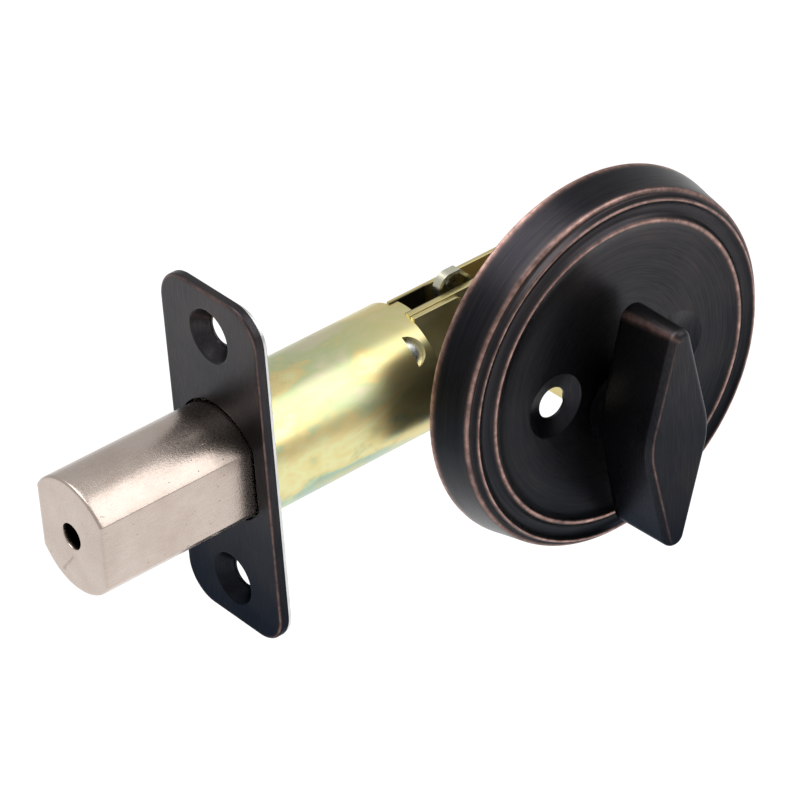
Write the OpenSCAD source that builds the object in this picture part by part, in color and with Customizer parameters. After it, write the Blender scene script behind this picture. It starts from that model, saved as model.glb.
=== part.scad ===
// Single-sided deadbolt lock: tubular latch with faceplate, and a round inside rosette with a thumb turn.
// Frame: the door's inside face is the plane y = 0, the cross bore's centre is the origin, +Z is up,
// the bolt is thrown towards -X and the thumb turn stands out towards -Y.

/* [Door fit] */
// Faceplate front to the centre of the cross bore
backset = 55.4; // [54:0.1:70]
// Inside face of the door to the middle of its thickness
door_half = 16; // [14:0.5:22]
// Drop of the turn axis below the bolt axis
turn_drop = 6; // [5.8:0.1:6.2]

/* [Faceplate] */
// Height of the faceplate
face_h = 57.15; // [52:0.05:62]
// Width of the faceplate
face_w = 22; // [21:0.1:26]
// Thickness of the bronze faceplate
face_t = 1.5; // [1.2:0.1:2]
// Corner radius of the faceplate
face_corner = 5.5; // [3:0.1:8]
// Thickness of the zinc backing plate
backing_t = 0.5; // [0.4:0.1:0.8]
// Distance between the two faceplate screws
face_screw_gap = 42.3; // [41:0.1:44]
// Diameter of a faceplate screw hole
face_hole_d = 4.6; // [4.2:0.1:5.2]
// Diameter of the countersink at the front
face_sink_d = 8.6; // [8:0.1:10]
// Depth of the dimple round a screw hole behind the backing plate
face_dimple = 0.6; // [0.3:0.1:1]

/* [Bolt] */
// Diameter of the bolt
bolt_d = 18.5; // [18:0.1:18.5]
// Width across the two flats of the bolt
bolt_flats = 15.4; // [14.5:0.1:16]
// How far the thrown bolt stands out of the faceplate
bolt_reach = 26.6; // [26:0.1:28]
// Travel of the bolt
bolt_throw = 25.4; // [25.4:0.1:25.4]
// Length of the bolt
bolt_len = 31; // [30.5:0.5:32]
// Diameter of the hole for the hardened pin
roller_hole_d = 4.1; // [2.5:0.1:4.5]

/* [Barrel and carriage] */
// Outside diameter of the barrel
barrel_d = 20.5; // [20.5:0.1:21.5]
// Faceplate front to the rear end of the barrel
barrel_end = 33.7; // [33.5:0.1:34]
// Height of the carriage plates
carriage_h = 20.6; // [20:0.1:20.8]
// Rear end of the carriage behind the cross bore centre
carriage_rear = 22; // [21.6:0.1:24]

/* [Crank] */
// Height of the drive pin above the bolt axis
pin_z = 9.75; // [9.6:0.05:9.8]
// Diameter of the drive pin
drive_pin_d = 1.7; // [1.5:0.1:1.7]
// Lean of the thrown crank from upright
crank_lean = 35.8; // [35.5:0.1:36]

/* [Rosette] */
// Diameter at the back rim
rosette_d = 59.6; // [59:0.1:64]
// Depth from the door to the front bead
rosette_depth = 8; // [8:0.1:9]
// Distance between the two rosette screws
rosette_screw_gap = 23.2; // [22:0.1:24]
// Height of the two screws' line above the latch axis
rosette_screw_z = -0.6; // [-0.8:0.1:0.8]
// Diameter of a rosette screw hole
rosette_hole_d = 4.9; // [4.6:0.1:5.4]
// Diameter of the rosette countersink
rosette_sink_d = 9.8; // [9:0.1:10]

/* [Thumb turn] */
// Height of the grip
grip_h = 37; // [32:0.5:40]
// Width of the grip at its middle
grip_w = 12; // [11:0.1:14]
// Depth of the grip
grip_depth = 11; // [9:0.5:14]
// Radius of the two tips
grip_tip = 2.6; // [2:0.1:3.5]
// Angle past upright when the bolt is thrown
grip_lean = 4; // [0:0.5:5]
// Diameter of the neck
neck_d = 11; // [10.5:0.1:12]

/* [Hidden] */
$fn = 96;

bronze = "#2b2523";
zinc = "#c9cbc8";
nickel = "#cfc8c0";
yellow_zinc = "#c3b26a";
steel = "#9a9a98";
nylon = "#e8e4d8";

eps = 0.02;
face_x = -backset;
backing_x = face_x + face_t;
plate_back_x = backing_x + backing_t;
barrel_x1 = face_x + barrel_end;
bolt_r = bolt_d / 2;
bolt_x0 = face_x - bolt_reach;
bolt_x1 = bolt_x0 + bolt_len;
mouth_gap = 0.3;
dimple_wall = 0.75;

barrel_r = barrel_d / 2;
barrel_bore_r = bolt_r + 0.08;
collar_x0 = bolt_x1 + bolt_throw + 0.4;
collar_r = barrel_bore_r - 0.03;

plate_z = carriage_h / 2;
gap_half = 1.75;
near_t = 1.15;
slide_t = 0.9;
far_t = 0.75;
near_y = -gap_half - near_t;
slide_y = near_y - 0.1 - slide_t;
far_y = gap_half + far_t;
tang_z = 8;
spacer_r = 1.6;
spacer_spots = [[19.8, 6], [19.8, -6], [-18.5, -6]];

pin_r = drive_pin_d / 2;
pin_x = -11.5;
tail_half = 1.1;
tail_z0 = 2.6;
tail_z1 = 5.2;
head_x0 = -14.6;
head_x1 = -7.7;
head_top = 12.45;
head_wall = 0.5;
head_half = 0.45;
web_y = 0.05;
cheek_y0 = 1.2;
cheek_y1 = 1.68;
hub_r = 5.2;
journal_r = 4.6;
blade_w = 7.4;
blade_t = 2.2;
blade_play = 0.12;
screw_clear_r = 2.8;

fork_slot_r = pin_r + 0.8;
fork_reach = 20.9;
prong_top = 11.4;

rosette_r = rosette_d / 2;
rim_r = rosette_r - 1.6;
bead_r = rosette_r - 2.7;
cove_r = rosette_r - 4.2;
lip_r = rosette_r - 5.8;
dish_y = -rosette_depth + 1.15;
dish_t = 1.2;
dish_back = dish_y + dish_t;
spindle_r = 4.6;
bushing_r = 5.4;
flange_r = 6.6;
bushing_y = dish_back;
washer_y = bushing_y + 0.7;
clip_y = washer_y + 0.7;
clip_t = 0.7;
groove_r = 4;
spindle_end = 0.2;
neck_y = dish_y - 0.15;
grip_y1 = dish_y - 2.6;
grip_y0 = grip_y1 - grip_depth;

// ---- placing and shaping helpers ----

module rod_x(r, x0, x1) {
    translate([x0, 0, 0]) rotate([0, 90, 0]) cylinder(r = r, h = x1 - x0);
}

module rod_y(r, y0, y1) {
    translate([0, y0, 0]) rotate([-90, 0, 0]) cylinder(r = r, h = y1 - y0);
}

// extrudes an outline drawn in y and z along X
module slab_x(x0, x1) {
    translate([x0, 0, 0]) rotate([90, 0, 90]) linear_extrude(x1 - x0) children();
}

// extrudes an outline drawn in x and z along Y
module slab_y(y0, y1) {
    translate([0, y1, 0]) rotate([90, 0, 0]) linear_extrude(y1 - y0) children();
}

// turns a profile drawn in radius and y about the Y axis
module lathe_y() {
    rotate([-90, 0, 0]) rotate_extrude() children();
}

module on_latch_axis() {
    translate([0, door_half, 0]) children();
}

module on_turn_axis() {
    translate([0, 0, -turn_drop]) children();
}

module rounded_rect(w, h, r) {
    square([w, h - 2 * r], center = true);
    square([w - 2 * r, h], center = true);
    for (sx = [-1, 1], sy = [-1, 1])
        translate([sx * (w / 2 - r), sy * (h / 2 - r)]) circle(r);
}

// a round with two upright flats, the bolt's section
module flatted_round(r, flats) {
    intersection() {
        circle(r);
        square([flats, 3 * r], center = true);
    }
}

// ---- bolt ----

module bolt_blank() {
    edge = 0.5;
    intersection() {
        union() {
            rod_x(bolt_r, bolt_x0 + edge, bolt_x1);
            translate([bolt_x0, 0, 0]) rotate([0, 90, 0])
                cylinder(r1 = bolt_r - edge, r2 = bolt_r, h = edge + eps);
        }
        half = bolt_flats / 2;
        translate([0, 0, -bolt_r]) linear_extrude(2 * bolt_r)
            polygon([
                [bolt_x0, half - edge], [bolt_x0 + edge, half], [bolt_x1, half],
                [bolt_x1, -half], [bolt_x0 + edge, -half], [bolt_x0, edge - half],
            ]);
    }
}

module bolt() {
    color(nickel) on_latch_axis() difference() {
        bolt_blank();
        rod_x(roller_hole_d / 2, bolt_x0 - 1, bolt_x1 - 8);
        translate([bolt_x1 - 5, -tail_half - 0.05, tail_z0 - 0.05])
            cube([6, 2 * tail_half + 0.1, tail_z1 - tail_z0 + 0.1]);
        translate([bolt_x1 - 2.4, 0, (tail_z0 + tail_z1) / 2]) rod_y(1, -bolt_r, bolt_r);
    }
}

module bolt_roller() {
    color(steel) on_latch_axis() rod_x(roller_hole_d / 2 - 0.05, bolt_x0 + 8, bolt_x1 - 8.1);
}

// flat tail with a walled head at its end, which carries the drive pin
module bolt_tail() {
    color(yellow_zinc) on_latch_axis() difference() {
        union() {
            slab_y(-tail_half, tail_half)
                translate([bolt_x1 - 5, tail_z0])
                    square([head_x0 + head_wall - bolt_x1 + 5, tail_z1 - tail_z0]);
            slab_y(web_y, head_half) head_outline(0);
            slab_y(-tail_half, web_y) difference() {
                head_outline(0);
                head_outline(head_wall);
            }
        }
        translate([bolt_x1 - 2.4, 0, (tail_z0 + tail_z1) / 2]) rod_y(1, -bolt_r, bolt_r);
        translate([pin_x, 0, pin_z]) rod_y(pin_r, -1, 2);
    }
}

// the head's outline, or the same drawn in by inset: round front corner, rear corner cut at 45 degrees
module head_outline(inset) {
    round_r = 2.4 - inset;
    cut = 2.8 - inset * (2 - sqrt(2));
    x0 = head_x0 + inset;
    x1 = head_x1 - inset;
    top = head_top - inset;
    bottom = tail_z0 + inset;
    polygon([
        [x0, bottom], [x0, top - round_r], [x0 + round_r, top], [x1 - cut, top],
        [x1, top - cut], [x1, bottom],
    ]);
    translate([x0 + round_r, top - round_r]) circle(round_r);
}

module drive_pin() {
    color(steel) on_latch_axis() translate([pin_x, 0, pin_z])
        rod_y(pin_r - 0.01, -0.15, cheek_y1);
}

module tail_rivet() {
    color(steel) on_latch_axis()
        translate([bolt_x1 - 2.4, 0, (tail_z0 + tail_z1) / 2])
            rod_y(0.98, -bolt_flats / 2 + 0.2, bolt_flats / 2 - 0.2);
}

// ---- faceplate and barrel ----

module bolt_mouth() {
    flatted_round(bolt_r + mouth_gap, bolt_flats + 2 * mouth_gap);
}

module faceplate() {
    hole_r = face_hole_d / 2;
    sink_r = face_sink_d / 2;
    dimple_x = plate_back_x + face_dimple;
    color(bronze) on_latch_axis() difference() {
        union() {
            slab_x(face_x, backing_x) rounded_rect(face_w, face_h, face_corner);
            for (s = [-1, 1]) translate([0, 0, s * face_screw_gap / 2])
                rod_x(hole_r + dimple_wall, backing_x - eps, dimple_x);
        }
        slab_x(face_x - 1, backing_x + 1) bolt_mouth();
        for (s = [-1, 1]) translate([0, 0, s * face_screw_gap / 2]) {
            rod_x(hole_r, face_x - 1, dimple_x + 1);
            translate([face_x - eps, 0, 0]) rotate([0, 90, 0])
                cylinder(r1 = sink_r, r2 = hole_r, h = dimple_x - 0.6 - face_x + eps);
        }
    }
}

// thin plate round the barrel's front end; the faceplate's dimples pass through it
module backing_plate() {
    color(zinc) on_latch_axis() difference() {
        slab_x(backing_x, plate_back_x) rounded_rect(face_w, face_h - 1, face_corner - 0.5);
        rod_x(barrel_r + 0.03, backing_x - 1, plate_back_x + 1);
        for (s = [-1, 1]) translate([0, 0, s * face_screw_gap / 2])
            rod_x(face_hole_d / 2 + dimple_wall + 0.05, backing_x - 1, plate_back_x + 1);
    }
}

// tube with a half-moon window near its rear end and a short lip between the plates
module barrel() {
    window_x = barrel_x1 - 3.35;
    window_angle = 42.5;
    window_r = 2.52;
    color(yellow_zinc) on_latch_axis() {
        difference() {
            rod_x(barrel_r, backing_x, barrel_x1);
            rod_x(barrel_bore_r, backing_x - 1, barrel_x1 + 1);
            rotate([window_angle, 0, 0]) intersection() {
                translate([window_x - 0.3, 0, 0]) cylinder(r = window_r, h = 2 * barrel_r);
                translate([window_x, -5, 0]) cube([5, 10, 2 * barrel_r]);
            }
        }
        intersection() {
            difference() {
                rod_x(barrel_r, barrel_x1 - 1, barrel_x1 + 1.5);
                rod_x(barrel_bore_r, barrel_x1 - 2, barrel_x1 + 2);
            }
            translate([barrel_x1 - 2, -1.7, 0]) cube([5, 3.4, 2 * barrel_r]);
        }
    }
}

// ring inside the barrel's rear end that holds the front tangs of the plates
module barrel_collar() {
    color(zinc) on_latch_axis() difference() {
        rod_x(collar_r, collar_x0, barrel_x1);
        translate([collar_x0 - 1, slide_y, -tang_z])
            cube([barrel_x1 - collar_x0 + 2, far_y - slide_y, 2 * tang_z]);
    }
}

// ---- carriage ----

// outline shared by the two long plates
module plate_outline() {
    corner = 3;
    lobe_r = 6.3;
    translate([collar_x0, -tang_z]) square([barrel_x1 - collar_x0 + 1, 2 * tang_z]);
    translate([barrel_x1, -plate_z])
        square([carriage_rear - corner - barrel_x1, 2 * plate_z]);
    translate([0, corner - plate_z])
        square([carriage_rear, 2 * (plate_z - corner)]);
    for (s = [-1, 1])
        translate([carriage_rear - corner, s * (plate_z - corner)]) circle(corner);
    translate([0, -turn_drop]) circle(lobe_r);
}

module plate_holes() {
    translate([0, -turn_drop]) circle(journal_r + 0.06);
    for (s = [-1, 1]) translate([s * rosette_screw_gap / 2, rosette_screw_z]) circle(screw_clear_r);
    for (p = spacer_spots) translate(p) circle(1);
}

module carriage_plate(y0, y1) {
    color(yellow_zinc) on_latch_axis() slab_y(y0, y1) difference() {
        plate_outline();
        plate_holes();
    }
}

module far_plate() carriage_plate(gap_half, far_y);

module near_plate() carriage_plate(near_y, -gap_half);

// short outer plate of the adjustable length slide
module slide_plate() {
    top_end = -12.6;
    corner = 1;
    color(yellow_zinc) on_latch_axis() slab_y(slide_y, slide_y + slide_t) difference() {
        union() {
            translate([collar_x0, -tang_z]) square([barrel_x1 - collar_x0 + 1, 2 * tang_z]);
            translate([barrel_x1, -plate_z])
                square([top_end - corner - barrel_x1, 2 * plate_z - 0.1]);
            translate([barrel_x1, -plate_z])
                square([top_end - barrel_x1, 2 * plate_z - corner - 0.1]);
            translate([top_end - corner, plate_z - corner - 0.1]) circle(corner);
        }
        translate([-rosette_screw_gap / 2, rosette_screw_z]) circle(screw_clear_r);
        translate(spacer_spots[2]) circle(1);
    }
}

// shouldered rivets that hold the plates apart
module spacer_rivets() {
    head_t = 0.5;
    head_r = 1.7;
    color(steel) on_latch_axis() for (i = [0:len(spacer_spots) - 1]) {
        outer = i == 2 ? slide_y : near_y;
        translate([spacer_spots[i][0], 0, spacer_spots[i][1]]) {
            rod_y(spacer_r, -gap_half, gap_half);
            rod_y(1, outer, far_y);
            rod_y(head_r, outer - head_t, outer);
            rod_y(head_r, far_y, far_y + head_t);
        }
    }
}

// leaf that rests under the crank hub, curled round the front rivet
module detent_spring() {
    leaf = 0.4;
    curl_r = spacer_r + 0.05;
    hub_bottom = -turn_drop - hub_r - 0.1;
    post = spacer_spots[2];
    color(steel) on_latch_axis() slab_y(-1.4, 1.4) {
        difference() {
            translate(post) circle(curl_r + leaf);
            translate(post) circle(curl_r);
        }
        polygon([
            [post[0], post[1] - curl_r - leaf], [-1, hub_bottom - leaf], [4, hub_bottom - leaf],
            [4, hub_bottom], [-1, hub_bottom], [post[0], post[1] - curl_r],
        ]);
    }
}

// ---- crank and tailpiece ----

// forked lever: its slot runs on the drive pin, its stem clears the rosette's screws
module lever_outline() {
    stem_r = 2.4;
    prong_r = fork_slot_r + 0.85;
    shoulder = 15;
    difference() {
        union() {
            circle(hub_r);
            polygon([
                [-3.4, 0], [3.4, 0], [stem_r, shoulder - 1.4], [prong_r, shoulder],
                [prong_r, fork_reach - 1], [fork_slot_r, fork_reach], [-fork_slot_r, fork_reach],
                [-prong_r, fork_reach - 1], [-prong_r, shoulder], [-stem_r, shoulder - 1.4],
            ]);
        }
        translate([0, shoulder + 1.2]) circle(fork_slot_r);
        translate([-fork_slot_r, shoulder + 1.2]) square([2 * fork_slot_r, 10]);
    }
}

// forked lever on a slotted hub that turns in the plates
module crank() {
    slot_w = blade_w + 2 * blade_play;
    slot_t = blade_t + 2 * blade_play;
    color(yellow_zinc) on_latch_axis() on_turn_axis() rotate([0, -crank_lean, 0])
        difference() {
            union() {
                slab_y(cheek_y0, cheek_y1) lever_outline();
                rod_y(hub_r - 0.2, -cheek_y1, cheek_y0 + 0.1);
                rod_y(journal_r, near_y - 0.6, far_y + 0.4);
            }
            rotate([0, crank_lean, 0]) translate([-slot_w / 2, -10, -slot_t / 2])
                cube([slot_w, 20, slot_t]);
            rotate([0, crank_lean, 0]) translate([-20, -10, prong_top + turn_drop])
                cube([40, 20, 10]);
        }
}

module tailpiece() {
    blade_y0 = dish_back + 1;
    blade_y1 = door_half + far_y + 1.6;
    color(yellow_zinc) on_turn_axis() difference() {
        translate([-blade_w / 2, blade_y0, -blade_t / 2])
            cube([blade_w, blade_y1 - blade_y0, blade_t]);
        translate([0, spindle_end - 1.4, 0]) cylinder(r = 0.7, h = 10, center = true);
    }
}

module tailpiece_pin() {
    color(steel) on_turn_axis()
        translate([0, spindle_end - 1.4, 0]) cylinder(r = 0.69, h = 2 * groove_r + 1, center = true);
}

// ---- thumb turn ----

// upright spindle-shaped outline: round tips, straight flanks and a soft bulge at the middle
module grip_outline() {
    half_w = grip_w / 2;
    side_r = 12;
    tip_z = grip_h / 2 - grip_tip;
    reach = norm([side_r - half_w, tip_z]);
    flank = atan2(tip_z, side_r - half_w) - acos((side_r - grip_tip) / reach);
    side_pt = [half_w - side_r + side_r * cos(flank), side_r * sin(flank)];
    tip_pt = [grip_tip * cos(flank), tip_z + grip_tip * sin(flank)];
    polygon([
        [side_pt[0], side_pt[1]], [tip_pt[0], tip_pt[1]], [-tip_pt[0], tip_pt[1]], [-side_pt[0], side_pt[1]],
        [-side_pt[0], -side_pt[1]], [-tip_pt[0], -tip_pt[1]], [tip_pt[0], -tip_pt[1]], [side_pt[0], -side_pt[1]],
    ]);
    for (s = [-1, 1]) {
        translate([0, s * tip_z]) circle(grip_tip);
        intersection() {
            translate([s * (half_w - side_r), 0]) circle(side_r);
            translate([s * half_w / 2, 0]) square([half_w, 2 * side_pt[1]], center = true);
        }
    }
}

module thumb_turn() {
    color(bronze) on_turn_axis() difference() {
        union() {
            rotate([0, grip_lean, 0]) slab_y(grip_y0, grip_y1) grip_outline();
            rod_y(neck_d / 2, grip_y1 - 1, neck_y);
            rod_y(spindle_r, neck_y - 1, spindle_end);
        }
        lathe_y() translate([groove_r, clip_y - 0.03]) square([3, clip_t + 0.06]);
        translate([-blade_w / 2 - 0.02, dish_back + 0.9, -blade_t / 2 - 0.02])
            cube([blade_w + 0.04, 10, blade_t + 0.04]);
        translate([0, spindle_end - 1.4, 0]) cylinder(r = 0.7, h = 12, center = true);
    }
}

// ---- rosette ----

module rosette_profile() {
    shoulder_y = -rosette_depth + 1.25;
    cove_y = -rosette_depth + 1.1;
    wall = 1.3;
    round_r = 0.8;
    polygon([
        [0, dish_y + dish_t], [0, dish_y], [lip_r * 0.72, dish_y - 0.15],
        [lip_r - 0.6, 0.25 - rosette_depth], [lip_r, 0.05 - rosette_depth], [lip_r + 0.5, 0.25 - rosette_depth],
        [lip_r + 0.9, cove_y], [cove_r, cove_y], [bead_r - 0.5, 0.55 - rosette_depth],
        [bead_r - 0.2, -rosette_depth + 0.15], [bead_r + 0.15, -rosette_depth + 0.2], [bead_r + 0.35, shoulder_y],
        [rim_r - round_r, shoulder_y], [rim_r, shoulder_y + round_r], [rosette_r, -1],
        [rosette_r, 0], [rosette_r - wall, 0], [rosette_r - wall, -1],
        [rim_r - wall, dish_back - 0.4], [rim_r - wall - 0.8, dish_back],
    ]);
}

module rosette() {
    hole_r = rosette_hole_d / 2;
    sink_r = rosette_sink_d / 2;
    sink_depth = dish_t - 0.3;
    color(bronze) difference() {
        lathe_y() rosette_profile();
        on_turn_axis() rod_y(bushing_r, -rosette_depth - 1, 1);
        for (s = [-1, 1]) translate([s * rosette_screw_gap / 2, 0, rosette_screw_z]) {
            rod_y(hole_r, -rosette_depth - 1, 1);
            translate([0, dish_y - 0.12, 0]) rotate([-90, 0, 0])
                cylinder(r1 = sink_r + 0.1, r2 = hole_r, h = sink_depth + 0.12);
        }
    }
}

module turn_bushing() {
    color(nylon) on_turn_axis() difference() {
        union() {
            rod_y(bushing_r, dish_y + 0.1, bushing_y + 0.1);
            rod_y(flange_r, bushing_y, bushing_y + 0.6);
        }
        rod_y(spindle_r + 0.05, dish_y - 1, bushing_y + 2);
    }
}

module wave_washer() {
    color(steel) on_turn_axis() difference() {
        rod_y(flange_r - 0.4, washer_y, washer_y + 0.5);
        rod_y(spindle_r + 0.15, washer_y - 1, washer_y + 2);
    }
}

module retaining_clip() {
    clip_r = spindle_r + 1.5;
    color(steel) on_turn_axis() difference() {
        rod_y(clip_r, clip_y, clip_y + clip_t);
        rod_y(groove_r + 0.02, clip_y - 1, clip_y + 2);
        translate([-2.6, clip_y - 1, 0]) cube([5.2, 3, 10]);
    }
}

bolt();
bolt_roller();
bolt_tail();
tail_rivet();
faceplate();
backing_plate();
barrel();
barrel_collar();
far_plate();
near_plate();
slide_plate();
spacer_rivets();
detent_spring();
crank();
drive_pin();
tailpiece();
tailpiece_pin();
thumb_turn();
rosette();
turn_bushing();
wave_washer();
retaining_clip();
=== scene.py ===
"""Deadbolt lock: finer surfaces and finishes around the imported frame.

Lengths in the mesh code are millimetres. A shape is drawn in (across, up, depth), and a place function from
facing_x or facing_y sets it in the shared frame.
"""
import math

import bmesh
import bpy
from mathutils import Matrix, Vector


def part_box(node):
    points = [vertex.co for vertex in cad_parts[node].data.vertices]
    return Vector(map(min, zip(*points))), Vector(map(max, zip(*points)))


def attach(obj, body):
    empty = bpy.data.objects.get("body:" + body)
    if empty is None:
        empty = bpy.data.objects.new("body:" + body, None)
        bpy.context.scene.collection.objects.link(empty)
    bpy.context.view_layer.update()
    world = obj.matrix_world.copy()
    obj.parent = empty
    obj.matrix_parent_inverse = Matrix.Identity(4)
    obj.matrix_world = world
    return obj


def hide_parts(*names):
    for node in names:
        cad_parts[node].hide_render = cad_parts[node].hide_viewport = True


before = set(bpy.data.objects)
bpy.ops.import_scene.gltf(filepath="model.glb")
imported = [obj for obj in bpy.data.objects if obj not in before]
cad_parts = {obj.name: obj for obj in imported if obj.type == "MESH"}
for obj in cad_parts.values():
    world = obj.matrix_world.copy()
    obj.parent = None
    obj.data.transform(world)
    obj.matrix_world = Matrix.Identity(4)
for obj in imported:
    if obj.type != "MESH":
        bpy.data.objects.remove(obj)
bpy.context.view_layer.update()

MM = 0.001
X, Y, Z = range(3)
SIDES = (-1, 1)
SHARP_ANGLE = 32.0


def extent(node, axis):
    """Lowest and highest place of a CAD node along an axis, in millimetres."""
    low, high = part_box(node)
    return round(low[axis] / MM, 3), round(high[axis] / MM, 3)


# ---------------------------------------------------------------- sizes read from the frame
FACE_X, DIMPLE_END = extent("faceplate", X)
FACE_Y0, FACE_Y1 = extent("faceplate", Y)
BACKING_X, BACKING_END = extent("backing_plate", X)
BARREL_X, LIP_END = extent("barrel", X)
BOLT_X, BOLT_END = extent("bolt", X)
CARRIAGE_X, CARRIAGE_END = extent("near_plate", X)
BARREL_END = extent("barrel_collar", X)[1]
SLIDE_END = extent("slide_plate", X)[1]
GRIP_Y = extent("thumb_turn", Y)[0]

DOOR_HALF = (FACE_Y0 + FACE_Y1) / 2
FACE_W = FACE_Y1 - FACE_Y0
FACE_H = 2 * extent("faceplate", Z)[1]
BACKING_H = 2 * extent("backing_plate", Z)[1]
FACE_T = BACKING_X - FACE_X
BACKING_T = BACKING_END - BACKING_X
BARREL_R = extent("barrel", Z)[1]
BOLT_R = extent("bolt", Z)[1]
BOLT_HALF_FLATS = extent("bolt", Y)[1] - DOOR_HALF
CARRIAGE_TOP = extent("near_plate", Z)[1]
SLIDE_TOP = extent("slide_plate", Z)[1]

# ---------------------------------------------------------------- sizes inside the pieces, as in the CAD
TURN_DROP = 6.0
FACE_SCREW_Z = 21.15
ROLLER_HOLE_R = 2.05
BARREL_BORE = 9.33
TANG_Z = 8.0
SCREW_X = 11.6
SCREW_Z = -0.6
SCREW_ROOM_R = 2.8
JOURNAL_R = 4.66
BUSHING_R = 5.4
NECK_R = 5.5
SPINDLE_R = 4.6
GRIP_DEPTH = 11.0
GRIP_LEAN = 4.0


# ---------------------------------------------------------------- place functions
def facing_x(start=0.0, raised=0.0):
    """Depth runs along +X from start, about the latch axis."""
    return lambda across, up, depth: (start + depth, DOOR_HALF + across, up + raised)


def facing_y(start=0.0, aside=0.0, raised=0.0):
    """Depth runs along +Y from start."""
    return lambda across, up, depth: (across + aside, start + depth, up + raised)


on_turn_axis = facing_y(raised=-TURN_DROP)


# ---------------------------------------------------------------- outlines
def bump(x, centre, width):
    return math.exp(-((x - centre) / width) ** 2)


def arc(cx, cy, radius, start, end, count):
    """Points of an arc from start to end, in degrees."""
    points = []
    for k in range(count + 1):
        angle = math.radians(start + (end - start) * k / count)
        points.append((cx + radius * math.cos(angle), cy + radius * math.sin(angle)))
    return points


def round_hole(cx, cy, radius, count=64):
    """Clockwise outline of a round hole."""
    return arc(cx, cy, radius, 0, 360, count)[-2::-1]


def hole_at(up):
    """A round hole as a function of its radius, which its steps give in place of an inset."""
    return lambda radius: round_hole(0, up, radius)


def box_outline(x0, y0, x1, y1):
    return [(x0, y0), (x1, y0), (x1, y1), (x0, y1)]


def rounded_rect(width, height, radius):
    """Counter-clockwise outline of a rounded rectangle about the origin."""
    points = []
    for right, top, start in ((1, 1, 0), (-1, 1, 90), (-1, -1, 180), (1, -1, 270)):
        cx, cy = right * (width / 2 - radius), top * (height / 2 - radius)
        points += arc(cx, cy, radius, start, start + 90, 14)
    return points


def flatted_round(radius, half, soft, grow=0.0):
    """Counter-clockwise section of a round bar with flats at +-half, its four corners softened."""
    radius, half = radius + grow, half + grow
    cx = half - soft
    cy = math.sqrt((radius - soft) ** 2 - cx ** 2)
    angle = math.degrees(math.atan2(cy, cx))
    points = arc(cx, -cy, soft, -angle, 0, 5) + arc(cx, cy, soft, 0, angle, 5)
    points += arc(0, 0, radius, angle, 180 - angle, 40)[1:-1]
    points += arc(-cx, cy, soft, 180 - angle, 180, 5) + arc(-cx, -cy, soft, 180, 180 + angle, 5)
    points += arc(0, 0, radius, 180 + angle, 360 - angle, 40)[1:-1]
    return points


def inset_normals(points):
    """Left-hand normals of a closed outline, lengthened so that an inset keeps the edges parallel."""
    normals = []
    for i, point in enumerate(points):
        here = Vector(point)
        before = (here - Vector(points[i - 1])).normalized()
        after = (Vector(points[(i + 1) % len(points)]) - here).normalized()
        normal_before, normal_after = Vector((-before.y, before.x)), Vector((-after.y, after.x))
        middle = (normal_before + normal_after).normalized()
        normals.append(middle / max(0.35, middle.dot(normal_before)))
    return normals


def inset_shape(points):
    """The outline as a function of its inset."""
    normals = inset_normals(points)
    return lambda inset: [(p[0] + n.x * inset, p[1] + n.y * inset) for p, n in zip(points, normals)]


def smooth_profile(points, steps):
    """Catmull-Rom curve through (radius, depth) points, for soft mouldings."""
    curve = []
    padded = [points[0]] + list(points) + [points[-1]]
    for quad in zip(padded, padded[1:], padded[2:], padded[3:]):
        for k in range(steps):
            t = k / steps
            curve.append(tuple(
                0.5 * (2 * b + (c - a) * t + (2 * a - 5 * b + 4 * c - d) * t * t
                       + (3 * b - a - 3 * c + d) * t ** 3)
                for a, b, c, d in zip(*quad)
            ))
    curve.append(tuple(points[-1]))
    return curve


def rounded(radius, depth, wear_and_shade=0.0, fade=0.0, segments=4, back=None):
    """Steps of an outline's wall: front edge rounded to radius, back edge to back (or radius).
    A fade adds a ring on each side of the front edge, where the wear has gone."""
    back = radius if back is None else back
    steps = []
    if fade:
        steps.append((radius + fade, 0.0, 0.0))
    for k in range(segments + 1):
        angle = math.pi / 2 * k / segments
        inset, sunk = radius * (1 - math.sin(angle)), radius * (1 - math.cos(angle))
        steps.append((inset, sunk, wear_and_shade * bump(k / segments, 0.35, 0.22)))
    if fade:
        steps.append((0.0, min(radius + fade, depth / 2), 0.0))
    for k in range(segments + 1):
        angle = math.pi / 2 * k / segments
        steps.append((back * (1 - math.cos(angle)), depth - back * (1 - math.sin(angle)), 0.0))
    return steps


def straight(start, end):
    """Steps of a cutter's plain wall."""
    return [(0.0, start, 0.0), (0.0, end, 0.0)]


# ---------------------------------------------------------------- mesh building
def shade_smooth(obj):
    obj.data.polygons.foreach_set("use_smooth", [True] * len(obj.data.polygons))
    obj.data.set_sharp_from_angle(angle=math.radians(SHARP_ANGLE))


def make_object(name, bm):
    """Turns a bmesh in millimetres into a smooth-shaded object in metres."""
    bmesh.ops.remove_doubles(bm, verts=bm.verts, dist=1e-5)
    bmesh.ops.recalc_face_normals(bm, faces=bm.faces)
    if bm.calc_volume(signed=True) < 0:
        bmesh.ops.reverse_faces(bm, faces=bm.faces)
    mesh = bpy.data.meshes.new(name)
    bm.to_mesh(mesh)
    bm.free()
    mesh.transform(Matrix.Scale(MM, 4))
    obj = bpy.data.objects.new(name, mesh)
    bpy.context.collection.objects.link(obj)
    shade_smooth(obj)
    return obj


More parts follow.
